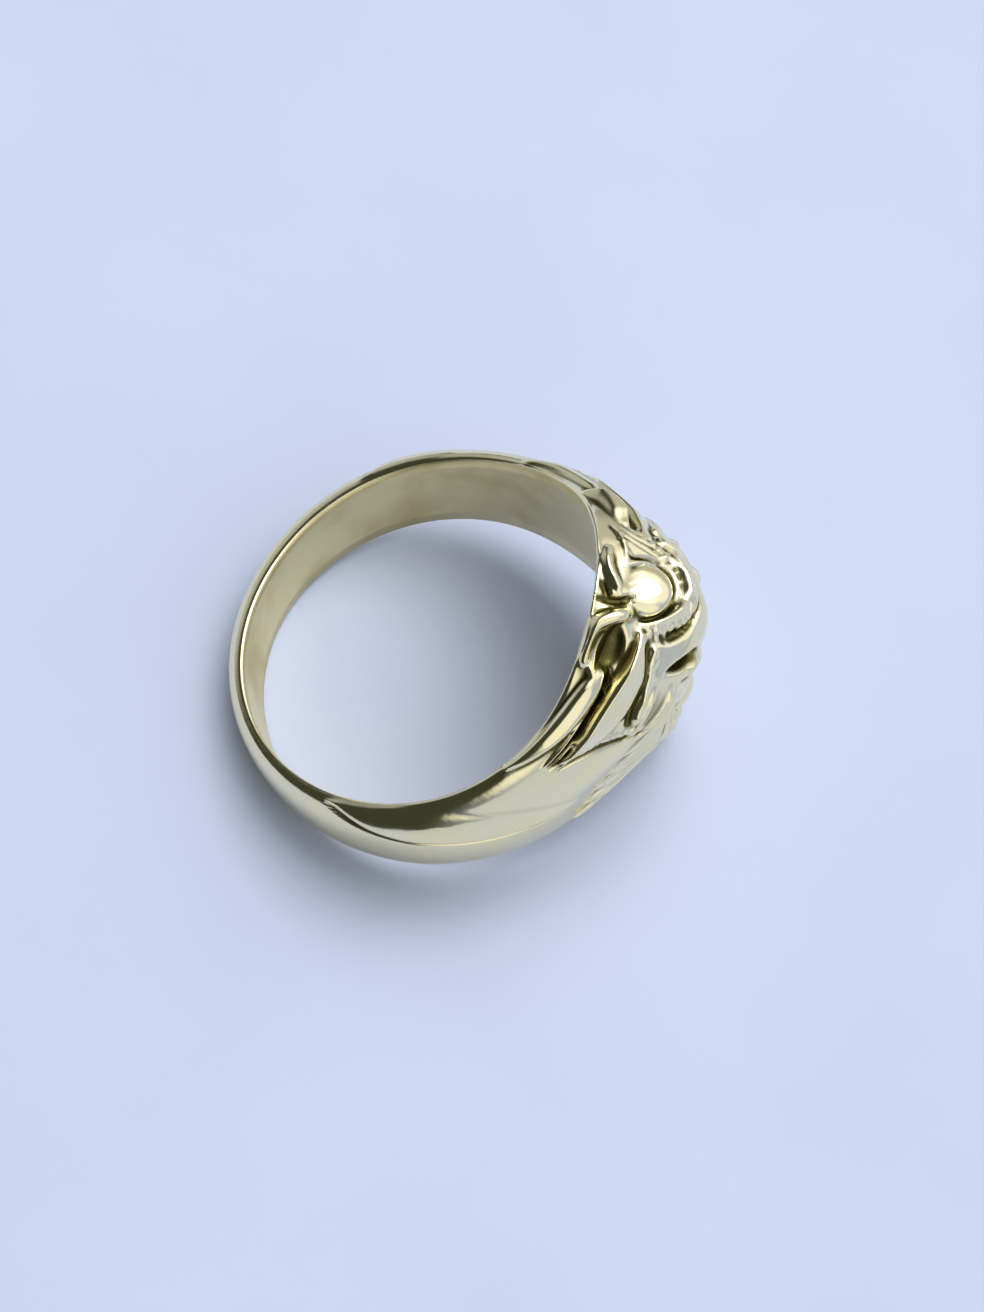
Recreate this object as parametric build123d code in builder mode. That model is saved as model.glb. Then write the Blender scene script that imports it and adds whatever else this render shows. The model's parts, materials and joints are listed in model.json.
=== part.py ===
from build123d import *
from collections import namedtuple
import math
import os

import numpy as np

# Lion head ring, one gold casting, lying on its side as it rests.
# Ring frame: the finger runs along Z, the lion's head faces +X, and the crown of the head is at +Z.
# Places on the ring are an angle round the finger, in degrees from the middle of the head,
# and a height share, from -1 at the lower bore edge to 1 at the upper one.

# Driving sizes, in millimetres
bore_radius = 9.75
head_height = 15.6
head_reach = 4.4
shank_width = 3.7
shank_wall = 1.17
shank_wear = 0.4
rim_land = 0.15
bore_stock = 0.4
relief_depth = 1.0
lock_width = 1.0
edge_margin = 0.6
edge_round = 0.28
rest_flat = 0.08

# Fineness of the cast surface, which is carved more finely than its facets are
angle_steps = 128
section_steps = 38
carving_steps = 3
soft_passes = 4

head_half = head_height / 2
shank_half = shank_width / 2

# How the blank changes from the middle of the head, at 0 degrees, to the back of the shank, at 180.
# crown_half and chin_half, the widths above and below the middle, run from shank_half at 0 to
# head_half at 1, reach from shank_wall to head_reach, and crown_face and chin_face from the plain
# domed band at 0 to the lion's profile at 1.
Station = namedtuple("Station", "angle crown_half chin_half reach crown_face chin_face")
stations = [
    Station(0, 1.00, 1.00, 1.000, 1.00, 1.00),
    Station(12, 0.96, 0.74, 0.870, 1.00, 1.00),
    Station(21, 0.87, 0.50, 0.650, 0.90, 1.00),
    Station(30, 0.74, 0.38, 0.390, 0.62, 1.00),
    Station(40, 0.58, 0.36, 0.230, 0.30, 0.90),
    Station(52, 0.43, 0.35, 0.140, 0.10, 0.60),
    Station(66, 0.30, 0.28, 0.090, 0.00, 0.20),
    Station(90, 0.175, 0.175, 0.070, 0.00, 0.00),
    Station(120, 0.087, 0.087, 0.045, 0.00, 0.00),
    Station(150, 0.016, 0.016, 0.012, 0.00, 0.00),
    Station(180, 0.00, 0.00, 0.000, 0.00, 0.00),
]

# The lion's profile from below the chin to the crown, as a share of the reach
Profile = namedtuple("Profile", "height reach")
profile = [
    Profile(-1.00, 0.04),
    Profile(-0.88, 0.24),
    Profile(-0.70, 0.37),
    Profile(-0.50, 0.50),
    Profile(-0.25, 0.66),
    Profile(0.00, 0.82),
    Profile(0.20, 0.95),
    Profile(0.35, 1.00),
    Profile(0.47, 0.94),
    Profile(0.58, 0.83),
    Profile(0.66, 0.71),
    Profile(0.76, 0.55),
    Profile(0.88, 0.37),
    Profile(0.95, 0.23),
    Profile(1.00, 0.04),
]

# The sides of the head that carry a form: far is at positive angles, near at negative ones, and
# a form at or across the middle is made once.
both = (1, -1)
far = (1,)
near = (-1,)
middle = (1,)

# Rounded masses on the blank: along and across are half lengths as shares of head_half, rise is a
# share of relief_depth, fall is near 0.5 for a ball and 1 for a soft swelling, and tilt is how much
# higher the mass is at its upper edge.
Mass = namedtuple("Mass", "sides angle height along across rise fall tilt")
masses = [
    Mass(middle, -2.6, 0.78, 0.172, 0.157, 0.56, 0.38, -0.75),  # crown dome
    Mass(middle, 0, 0.14, 0.17, 0.42, 0.2, 1, 0),  # bridge of the nose
    Mass(both, 9, 0.44, 0.2, 0.06, 0.06, 1, 0),  # brows
    Mass(both, 10.6, 0.275, 0.07, 0.05, 0.24, 0.6, 0),  # eyes
    Mass(both, 13, 0.06, 0.19, 0.13, 0.2, 1, 0),  # cheekbones
    Mass(middle, 0, -0.2, 0.13, 0.085, 0.55, 0.7, 0),  # tip of the nose
    Mass(both, 4.8, -0.4, 0.165, 0.13, 0.55, 0.7, 0),  # muzzle pads
    Mass(middle, 0, -0.66, 0.15, 0.085, 0.45, 0.8, 0),  # chin
]

# Locks of the mane and the rims of the ears, each along a curve from its root over its middle to
# its tip. The widths are half widths as shares of lock_width, and the rise is a share of
# relief_depth. crest is 1 for a ridge and 2 for a round back, and lean moves the crest towards the
# upper bore edge.
Lock = namedtuple(
    "Lock",
    "sides root_at root_height mid_at mid_height tip_at tip_height root mid tip rise crest lean",
)
crown_locks = [
    Lock(far, 5.8, 0.972, 0.2, 0.972, -5.2, 0.945, 0.22, 0.32, 0.18, 0.34, 2, -0.2),
    Lock(far, 8.8, 0.935, 7.4, 0.85, 6, 0.735, 0.14, 0.26, 0.16, 0.24, 1.15, -0.7),
    Lock(far, 11.4, 0.93, 9.8, 0.835, 8.3, 0.715, 0.1, 0.19, 0.12, 0.22, 1.15, -0.7),
    Lock(far, 13.6, 0.915, 12, 0.825, 10.4, 0.705, 0.1, 0.18, 0.11, 0.22, 1.15, -0.7),
    Lock(far, 12.8, 0.67, 12, 0.615, 10.6, 0.56, 0.1, 0.24, 0.1, 0.34, 1.6, -0.5),
    Lock(far, 8.6, 0.64, 3.6, 0.53, -2, 0.54, 0.18, 0.56, 0.54, 0.5, 1.05, 0.95),
    Lock(near, 2, 0.54, 6.6, 0.63, 10.8, 0.765, 0.54, 0.4, 0.16, 0.5, 1.05, 0.95),
]
ear_rims = [
    Lock(near, 10, 0.865, 15.8, 0.972, 25.8, 0.98, 0.3, 0.4, 0.24, 0.56, 3, 0),
    Lock(near, 26, 0.965, 27.2, 0.925, 26, 0.88, 0.16, 0.2, 0.12, 0.26, 2, 0),
    Lock(far, 16.6, 0.89, 23.5, 0.925, 31.5, 0.985, 0.4, 0.42, 0.12, 0.72, 1.05, -0.85),
]
shoulder_locks = [
    Lock(near, 12.2, 0.772, 29, 0.678, 46, 0.695, 0.06, 1.02, 0.12, 0.85, 1.1, 0.95),
    Lock(far, 12.2, 0.772, 29, 0.678, 46, 0.695, 0.06, 1.02, 0.12, 0.5, 1.1, 0.95),
    Lock(near, 26.4, 0.89, 38, 0.93, 60, 1, 0.36, 0.54, 0.12, 0.46, 4, 0),
    Lock(far, 29, 0.9, 40, 0.93, 60, 1, 0.3, 0.46, 0.12, 0.32, 2.2, 0.2),
    Lock(near, 113, 0.985, 86, 0.7, 50, -0.1, 0.1, 1, 0.35, 0.3, 1.1, -0.9),
    Lock(far, 113, 0.985, 86, 0.7, 50, -0.1, 0.1, 1, 0.35, 0.16, 1.1, -0.9),
]
cheek_locks = [
    Lock(both, 21, 0.5, 25.5, 0.4, 31, 0.3, 0.14, 0.26, 0.1, 0.22, 1.5, 0.2),
    Lock(both, 17.5, 0.4, 21.5, 0.27, 29.5, 0.17, 0.14, 0.36, 0.14, 0.26, 1.5, 0.2),
    Lock(both, 17, 0.22, 22, 0.06, 31, -0.04, 0.15, 0.42, 0.15, 0.28, 1.5, 0.2),
    Lock(both, 17.5, 0, 24, -0.16, 36, -0.22, 0.15, 0.46, 0.15, 0.3, 1.5, 0.2),
    Lock(both, 17.5, -0.22, 25, -0.38, 40, -0.42, 0.15, 0.5, 0.15, 0.32, 1.5, 0.2),
    Lock(both, 16.5, -0.42, 24, -0.6, 44, -0.62, 0.15, 0.52, 0.15, 0.42, 1.5, 0.2),
    Lock(both, 14, -0.58, 23, -0.8, 48, -0.84, 0.15, 0.52, 0.15, 0.42, 1.5, 0.2),
]
beard_locks = [
    Lock(both, 2.8, -0.7, 3.4, -0.84, 1.8, -0.99, 0.3, 0.42, 0.15, 0.5, 2, 0),
    Lock(both, 6.5, -0.64, 8.2, -0.82, 8, -0.99, 0.25, 0.42, 0.18, 0.5, 2, 0),
    Lock(both, 10.2, -0.6, 13.5, -0.8, 15.5, -0.99, 0.25, 0.42, 0.18, 0.48, 2, 0),
    Lock(both, 14, -0.64, 20, -0.85, 25, -0.99, 0.22, 0.4, 0.18, 0.45, 2, 0),
]

# Carved grooves and hollows, whose rise is a depth
grooves = [
    Lock(both, 16, 0.505, 11.6, 0.395, 7.6, 0.3, 0.05, 0.36, 0.2, 0.75, 2, 0),
    Lock(both, 15, 0.32, 11, 0.17, 7.6, 0.18, 0.08, 0.18, 0.14, 0.28, 2, 0),
    Lock(both, 5.6, 0.22, 4.6, 0, 4.1, -0.2, 0.16, 0.28, 0.16, 0.28, 2, 0),
    Lock(middle, 0, -0.28, 0, -0.4, 0, -0.53, 0.1, 0.16, 0.1, 0.4, 2, 0),
    Lock(both, 0, -0.52, 4.5, -0.585, 9.6, -0.5, 0.14, 0.24, 0.12, 0.5, 2, 0),
    Lock(both, 1.4, -0.235, 2.5, -0.225, 3.4, -0.19, 0.1, 0.16, 0.08, 0.4, 2, 0),
    Lock(both, 47.5, 0.64, 38, 0.5, 27.5, 0.235, 0.08, 0.18, 0.12, 0.3, 2, 0),
    Lock(both, 22.5, 0.85, 36.5, 0.8, 50, 0.745, 0.14, 0.46, 0.12, 0.6, 2, 0),
    Lock(near, 14, 0.905, 19.6, 0.888, 25.6, 0.905, 0.3, 0.74, 0.36, 0.55, 2, 0),
    Lock(near, 3.6, 0.99, 6.2, 0.975, 8.4, 0.965, 0.1, 0.22, 0.12, 0.34, 2, 0),
    Lock(far, 18.5, 0.79, 25.6, 0.835, 33, 0.94, 0.14, 0.26, 0.12, 0.44, 2, 0),
    Lock(far, 16.6, 0.85, 17.6, 0.74, 15.6, 0.6, 0.16, 0.4, 0.16, 0.4, 2, 0),
    Lock(far, -2, 0.645, 3.4, 0.65, 5.4, 0.725, 0.2, 0.22, 0.1, 0.36, 2, 0),
    Lock(near, 2, 0.645, 7.2, 0.7, 9.8, 0.785, 0.2, 0.18, 0.1, 0.36, 2, 0),
    Lock(near, 6.2, 0.875, 8.3, 0.93, 9.4, 1, 0.14, 0.24, 0.2, 0.34, 2, 0),
    Lock(both, 0, 0.46, 6.4, 0.52, 12.1, 0.68, 0.22, 0.3, 0.34, 0.36, 2, 0),
    Lock(both, 12.1, 0.69, 20, 0.652, 28.6, 0.455, 0.3, 0.42, 0.26, 0.5, 2, 0),
]

# Shape constants without a length
band_bow = 2.3
band_root = 2.0
cheek_blend = 0.4
lock_shoulder = 0.75
lean_share = 0.8
end_rise = 0.45
cover_rise = 0.22
step_reach = 0.6
lock_margin = 8
curve_samples = 60
frame_limit = 0.985
wall_clearance = 1.003
edge_fall = 0.15
lip_rise = 0.45
head_spacing = 0.33
head_crowding = 2.4
outline_samples = 400


def smooth_curve(places, values):
    """The smooth curve through the values, level at both ends."""
    places = np.array(places, float)
    values = np.array(values, float)
    gaps = np.diff(places)
    slopes = np.diff(values) / gaps
    count = len(places)
    system = np.zeros((count, count))
    known = np.zeros(count)
    for row in range(count):
        if row > 0:
            system[row, row - 1] = gaps[row - 1]
            system[row, row] += 2 * gaps[row - 1]
            known[row] -= 6 * slopes[row - 1]
        if row < count - 1:
            system[row, row + 1] = gaps[row]
            system[row, row] += 2 * gaps[row]
            known[row] += 6 * slopes[row]
    bends = np.linalg.solve(system, known)

    def value(place):
        place = np.clip(place, places[0], places[-1])
        span = np.clip(np.searchsorted(places, place) - 1, 0, count - 2)
        along = place - places[span]
        slope = slopes[span] - gaps[span] * (2 * bends[span] + bends[span + 1]) / 6
        twist = (bends[span + 1] - bends[span]) / (6 * gaps[span])
        return values[span] + along * (slope + along * (bends[span] / 2 + along * twist))

    return value


station_angles = [row.angle for row in stations]
crown_share, chin_share, reach_share, crown_face, chin_face = (
    smooth_curve(station_angles, [getattr(row, name) for row in stations])
    for name in Station._fields[1:]
)
profile_share = smooth_curve([row.height for row in profile], [row.reach for row in profile])


def blank_point(angle, height):
    """A point of the smooth blank under the relief, in the ring frame."""
    turn = np.abs(angle)
    radians = np.radians(angle)
    crown = shank_half + (head_half - shank_half) * crown_share(turn)
    chin = shank_half + (head_half - shank_half) * chin_share(turn)
    reach = shank_wall + (head_reach - shank_wall) * reach_share(turn)
    reach = reach + shank_wear * np.sin(radians) * np.clip(-np.cos(radians), 0, 1)
    height = np.clip(height, -1, 1)
    toward_crown = (1 + np.sin(math.pi / 2 * np.clip(height / cheek_blend, -1, 1))) / 2
    face = chin_face(turn) + (crown_face(turn) - chin_face(turn)) * toward_crown
    face = np.clip(face, 0, 1)
    bow = (1 - np.abs(height) ** band_bow) ** (1 / band_root)
    domed = rim_land + (reach - rim_land) * bow
    radius = bore_radius + (1 - face) * domed + face * reach * profile_share(height)
    level = (crown + chin) / 2 * height + (crown - chin) / 2 * height**2
    return np.stack([radius * np.cos(radians), radius * np.sin(radians), level], -1)


def unit(vectors):
    """The vectors at length one."""
    return vectors / np.linalg.norm(vectors, axis=-1, keepdims=True)


def surface_frame(angle, height):
    """The blank's point and its directions along the ring, across it and outwards."""
    point = blank_point(angle, height)
    height = np.clip(height, -frame_limit, frame_limit)
    along = unit(blank_point(angle + 0.01, height) - blank_point(angle - 0.01, height))
    across = unit(blank_point(angle, height + 0.001) - blank_point(angle, height - 0.001))
    return point, along, across, unit(np.cross(along, across))


def bend(first, middle, last, share):
    """The parabola through three values at the shares 0, 0.5 and 1."""
    pull = 2 * middle - (first + last) / 2
    return (1 - share) ** 2 * first + 2 * share * (1 - share) * pull + share**2 * last


def mass_rise(points, mass):
    """How far one mass lifts each point."""
    rise = np.zeros(len(points))
    for side in mass.sides:
        center, along, across, outward = surface_frame(mass.angle * side, mass.height)
        offset = points - center
        spread = (offset @ along / mass.along) ** 2 + (offset @ across / mass.across) ** 2
        depth = offset @ outward / (mass.along + mass.across)
        inside = np.clip(1 - spread / head_half**2 - (depth / head_half) ** 2, 0, 1)
        slope = 1 + mass.tilt * np.clip(offset @ across / (mass.across * head_half), -1, 1)
        rise = np.maximum(rise, mass.rise * relief_depth * slope * inside**mass.fall)
    return rise


def lock_rise(points, angles, lock):
    """How far one lock, or one groove's depth, reaches at each point."""
    rise = np.zeros(len(points))
    share = np.linspace(0, 1, curve_samples)
    widths = lock_width * bend(lock.root, lock.mid, lock.tip, share)
    heights = np.clip(bend(lock.root_height, lock.mid_height, lock.tip_height, share), -1, 1)
    for side in lock.sides:
        line_angles = side * bend(lock.root_at, lock.mid_at, lock.tip_at, share)
        line, _, across, outward = surface_frame(line_angles, heights)
        steps = np.gradient(line, axis=0)
        spacing = np.linalg.norm(steps, axis=-1)
        sideways = unit(np.cross(outward, unit(steps)))
        sideways *= np.where(np.sum(sideways * across, -1, keepdims=True) < 0, -1, 1)
        beside = angles > line_angles.min() - lock_margin
        beside &= angles < line_angles.max() + lock_margin
        offsets = points[beside][:, None, :] - line[None]
        nearest = np.linalg.norm(offsets, axis=-1).argmin(axis=1)
        offset = offsets[np.arange(len(nearest)), nearest]
        lateral = np.sum(offset * sideways[nearest], -1)
        onward = np.sum(offset * unit(steps)[nearest], -1)
        beyond = np.clip(np.abs(onward) - spacing[nearest] * step_reach, 0, None)
        distance = np.where(lateral < 0, -1, 1) * np.hypot(lateral, beyond)
        at = share[nearest] + np.clip(onward / spacing[nearest], -0.5, 0.5) / (curve_samples - 1)
        at = np.clip(at, 0, 1)
        place = distance / np.interp(at, share, widths)
        top = lean_share * lock.lean
        fall = np.where(place > top, (place - top) / (1 - top), (top - place) / (1 + top))
        body = (1 - np.clip(fall, 0, 1) ** lock.crest) ** lock_shoulder
        body *= np.minimum(1, end_rise + 4 * (1 - end_rise) * np.minimum(at, 1 - at))
        rise[beside] = np.maximum(rise[beside], lock.rise * relief_depth * body)
    return rise


def highest(points, angles, locks):
    """Where locks overlap, the highest one shows."""
    rise = np.zeros(len(points))
    for lock in locks:
        rise = np.maximum(rise, lock_rise(points, angles, lock))
    return rise


def ring_angles():
    """The angles at which the relief is carved, closer together at the head."""
    share = np.linspace(-1, 1, angle_steps * carving_steps + 1)[:-1]
    crowded = np.sign(share) * np.abs(share) ** head_crowding
    return 180 * (head_spacing * share + (1 - head_spacing) * crowded)


def settled(rise):
    """The relief softened over its neighbours, as casting and polishing leave it."""
    for _ in range(soft_passes):
        rise = (np.roll(rise, 1, 0) + 2 * rise + np.roll(rise, -1, 0)) / 4
        rise[:, 1:-1] = (rise[:, :-2] + 2 * rise[:, 1:-1] + rise[:, 2:]) / 4
    return rise


def outer_sections(angles):
    """Points of the carved outside, a row for each angle, from the lower to the upper bore edge."""
    outline_heights = np.sin(np.linspace(-math.pi / 2, math.pi / 2, outline_samples))
    steps = section_steps * carving_steps
    rows = []
    margins = []
    for angle in angles:
        outline = blank_point(np.full(len(outline_heights), angle), outline_heights)
        length = np.append(0, np.cumsum(np.linalg.norm(np.diff(outline, axis=0), axis=1)))
        stops = np.linspace(0, length[-1], steps + 1)
        rows.append(np.interp(stops, length, outline_heights))
        margins.append(np.stack([stops, length[-1] - stops], -1))
    grid_angles = np.repeat(angles, steps + 1)
    points, _, _, outward = surface_frame(grid_angles, np.array(rows).ravel())
    rise = sum(mass_rise(points, mass) for mass in masses)
    locks = crown_locks + ear_rims + shoulder_locks + cheek_locks + beard_locks
    over = highest(points, grid_angles, locks)
    cover = np.clip(over / (cover_rise * relief_depth), 0, 1)
    rise += over - highest(points, grid_angles, grooves) * (1 - cover)
    # The lower bore edge stays plain, and no groove breaks the upper one
    to_lower, to_upper = np.clip(np.concatenate(margins) / edge_margin, 0, 1).T
    rise *= to_lower
    rise = np.where(rise < 0, rise * to_upper, rise)
    # The upper bore edge is rounded over
    lip = np.clip(np.concatenate(margins)[:, 1] / edge_round, 0, 1)
    rounded = lip_rise + (1 - lip_rise) * np.sqrt(1 - (1 - lip) ** 2)
    rise = np.where(rise > 0, rise * rounded, rise)
    rise = settled(rise.reshape(len(angles), steps + 1)).ravel()
    points = points + outward * rise[:, None]
    radius = np.hypot(points[:, 0], points[:, 1])
    push = np.maximum(radius, bore_radius * wall_clearance) / radius
    points[:, :2] *= push[:, None]
    return points.reshape(len(angles), steps + 1, 3)[::carving_steps, ::carving_steps]


def closed_sections(angles):
    """Each outer section closed behind the bore wall, which the bore then cuts to size."""
    outer = outer_sections(angles)
    angles = angles[::carving_steps]
    core = bore_radius - bore_stock
    circle = np.stack([np.cos(np.radians(angles)), np.sin(np.radians(angles))], -1)
    inner = []
    for edge, inwards in ((outer[:, -1], -1), (outer[:, 0], 1)):
        height = edge[:, 2] + inwards * edge_fall * bore_stock
        inner.append(np.concatenate([core * circle, height[:, None]], 1))
    return np.concatenate([outer, np.stack(inner, 1)], 1)


def rest_tilt(points):
    """The tilt at which the head's lower edge and the back of the shank both touch the floor."""
    tilt = 0.0
    for _ in range(6):
        level = points[:, 0] * math.sin(tilt) + points[:, 2] * math.cos(tilt)
        head = points[np.argmin(np.where(points[:, 0] > 0, level, np.inf))]
        back = points[np.argmin(np.where(points[:, 0] < 0, level, np.inf))]
        tilt = math.atan2(back[2] - head[2], head[0] - back[0])
    return tilt


def laid_down(points, tilt):
    """The points turned by the tilt about Y."""
    turned = points.copy()
    turned[..., 0] = points[..., 0] * math.cos(tilt) - points[..., 2] * math.sin(tilt)
    turned[..., 2] = points[..., 0] * math.sin(tilt) + points[..., 2] * math.cos(tilt)
    return turned


angles = ring_angles()
sections = closed_sections(angles)
tilt = rest_tilt(sections.reshape(-1, 3))
sections = laid_down(sections, tilt)
low = sections.reshape(-1, 3).min(axis=0)
high = sections.reshape(-1, 3).max(axis=0)
origin = np.array([(low[0] + high[0]) / 2, (low[1] + high[1]) / 2, low[2] + rest_flat])
sections -= origin
# Small flats where the ring stands
sections[..., 2] = np.maximum(sections[..., 2], 0)

finger_axis = Vector(-math.sin(tilt), 0, math.cos(tilt))
bore_plane = Plane(origin=Vector(*(-origin)), x_dir=(0, 1, 0), z_dir=finger_axis)


def triangle(a, b, c):
    """A flat face through three corners."""
    return Face(Wire.make_polygon([Vector(*a), Vector(*b), Vector(*c)], close=True))


def skin(rows):
    """Two triangles for each cell of the closed grid."""
    faces = []
    ring_count, section_count = rows.shape[:2]
    for i in range(ring_count):
        for j in range(section_count):
            a = rows[i, j]
            b = rows[(i + 1) % ring_count, j]
            c = rows[(i + 1) % ring_count, (j + 1) % section_count]
            d = rows[i, (j + 1) % section_count]
            faces.append(triangle(a, b, c))
            faces.append(triangle(a, c, d))
    return faces


casting = Solid(Shell(skin(sections)))

with BuildPart() as lion_head_ring:
    add(casting)
    with BuildSketch(bore_plane):
        Circle(bore_radius)
    extrude(amount=head_height, both=True, mode=Mode.SUBTRACT)

lion_head_ring.part.label = "lion_head_ring"

os.makedirs("parts", exist_ok=True)
export_step(lion_head_ring.part, "parts/lion_head_ring.step")
print("tilt", round(math.degrees(tilt), 2), "origin", origin.round(3), "volume", lion_head_ring.part.volume)
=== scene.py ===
"""A cast gold ring whose band widens into a lion's head, with its finishes, studio and camera.

Places on the ring are an angle round the finger, in degrees from the middle of the head, and a
height share, from -1 at the lower bore edge to 1 at the upper one. The far side of the head, at
positive angles, is the one away from the camera. Sizes are in millimetres until a mesh is made.
"""
import json
import logging
import math
from dataclasses import dataclass, field
from enum import Enum
from typing import Any, Iterable, Iterator, NamedTuple, Optional, Protocol, Union

import bpy
import numpy as np
from mathutils import Matrix, Vector


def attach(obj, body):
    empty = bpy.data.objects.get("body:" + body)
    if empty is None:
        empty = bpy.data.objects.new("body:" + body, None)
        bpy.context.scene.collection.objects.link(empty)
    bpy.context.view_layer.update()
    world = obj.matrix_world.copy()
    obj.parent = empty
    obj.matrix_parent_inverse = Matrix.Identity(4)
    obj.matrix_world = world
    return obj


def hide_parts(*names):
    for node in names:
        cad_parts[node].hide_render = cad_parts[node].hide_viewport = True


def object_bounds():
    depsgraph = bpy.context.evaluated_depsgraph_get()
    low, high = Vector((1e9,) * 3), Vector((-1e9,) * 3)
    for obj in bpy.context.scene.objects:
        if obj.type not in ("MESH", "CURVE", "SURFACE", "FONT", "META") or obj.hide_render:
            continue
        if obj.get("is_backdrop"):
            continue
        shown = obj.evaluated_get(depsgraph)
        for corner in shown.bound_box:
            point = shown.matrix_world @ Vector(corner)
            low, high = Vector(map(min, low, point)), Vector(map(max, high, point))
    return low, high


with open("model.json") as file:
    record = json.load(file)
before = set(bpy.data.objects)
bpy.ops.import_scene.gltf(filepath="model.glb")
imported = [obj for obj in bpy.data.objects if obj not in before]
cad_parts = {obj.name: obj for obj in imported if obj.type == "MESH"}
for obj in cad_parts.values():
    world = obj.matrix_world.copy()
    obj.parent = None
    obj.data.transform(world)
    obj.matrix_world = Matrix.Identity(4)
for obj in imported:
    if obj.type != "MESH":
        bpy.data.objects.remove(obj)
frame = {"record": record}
CAD_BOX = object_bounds()

NODE = "lion_head_ring"
BODY = "root"
MM = 0.001

log = logging.getLogger("lion_head_ring")

Triple = tuple[float, float, float]
Colour = Triple


class Sides(Enum):
    """The sides of the head on which a carved form stands."""

    BOTH = (1, -1)
    FAR = (1,)
    NEAR = (-1,)


BOTH, FAR, NEAR = Sides.BOTH, Sides.FAR, Sides.NEAR


class Station(NamedTuple):
    """How the blank changes from the middle of the head, at 0 degrees, to the back of the shank."""

    angle: float
    crown_half: float
    chin_half: float
    reach: float
    crown_face: float
    chin_face: float


class Profile(NamedTuple):
    """The lion's profile from below the chin to the crown, as a share of the head's reach."""

    height: float
    reach: float


class Mass(NamedTuple):
    """A rounded swelling: half lengths as shares of the head's half height, rise of the relief.

    Tilt is how much higher it is at its upper edge, so a negative one makes its lower edge higher.
    """

    sides: Sides
    angle: float
    height: float
    along: float
    across: float
    rise: float
    fall: float
    tilt: float = 0


class Stroke(NamedTuple):
    """A lock, rim or groove along a curve from its root over its middle to its tip.

    The widths are half widths as shares of the lock width, and rise is a share of the relief.
    Crest is 1 for a ridge and 2 for a round back, and lean moves the crest to the upper edge.
    Strands is how clearly single hairs show on it.
    """

    sides: Sides
    root_at: float
    root_height: float
    mid_at: float
    mid_height: float
    tip_at: float
    tip_height: float
    root: float
    mid: float
    tip: float
    rise: float
    crest: float
    lean: float
    strands: float = 0


class Place(NamedTuple):
    """A place on the ring."""

    angle: float
    height: float


class Spot(NamedTuple):
    """Points of the blank, and the directions there: along the ring, across it and outwards."""

    point: np.ndarray
    along: np.ndarray
    across: np.ndarray
    outward: np.ndarray


class Relief(NamedTuple):
    """How far points are lifted, their share of hair, their place across a lock and their cut."""

    lift: np.ndarray
    hair: np.ndarray
    crosswise: np.ndarray
    cuts: np.ndarray


STATIONS = (
    Station(0, 1.00, 1.00, 1.000, 1.00, 1.00),
    Station(12, 0.96, 0.74, 0.870, 1.00, 1.00),
    Station(21, 0.87, 0.50, 0.650, 0.90, 1.00),
    Station(30, 0.74, 0.38, 0.390, 0.62, 1.00),
    Station(40, 0.58, 0.36, 0.230, 0.30, 0.90),
    Station(52, 0.43, 0.35, 0.140, 0.10, 0.60),
    Station(66, 0.30, 0.28, 0.090, 0.00, 0.20),
    Station(90, 0.175, 0.175, 0.070, 0.00, 0.00),
    Station(120, 0.087, 0.087, 0.045, 0.00, 0.00),
    Station(150, 0.016, 0.016, 0.012, 0.00, 0.00),
    Station(180, 0.00, 0.00, 0.000, 0.00, 0.00),
)

PROFILE = (
    Profile(-1.00, 0.04),
    Profile(-0.88, 0.24),
    Profile(-0.70, 0.37),
    Profile(-0.50, 0.50),
    Profile(-0.25, 0.66),
    Profile(0.00, 0.82),
    Profile(0.20, 0.95),
    Profile(0.35, 1.00),
    Profile(0.47, 0.94),
    Profile(0.58, 0.83),
    Profile(0.66, 0.71),
    Profile(0.76, 0.55),
    Profile(0.88, 0.37),
    Profile(0.95, 0.23),
    Profile(1.00, 0.04),
)

CROWN_DOME = Mass(FAR, -2.6, 0.780, 0.172, 0.157, 0.56, 0.38, -0.75)
FACE_MASSES = (
    Mass(FAR, 0, 0.14, 0.170, 0.420, 0.20, 1.0),
    Mass(BOTH, 9.0, 0.44, 0.200, 0.060, 0.06, 1.0),
    Mass(BOTH, 10.6, 0.275, 0.070, 0.050, 0.24, 0.6),
    Mass(BOTH, 13.0, 0.06, 0.190, 0.130, 0.20, 1.0),
    Mass(FAR, 0, -0.20, 0.130, 0.085, 0.55, 0.7),
    Mass(BOTH, 4.8, -0.40, 0.165, 0.130, 0.55, 0.7),
    Mass(FAR, 0, -0.66, 0.150, 0.085, 0.45, 0.8),
)

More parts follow.
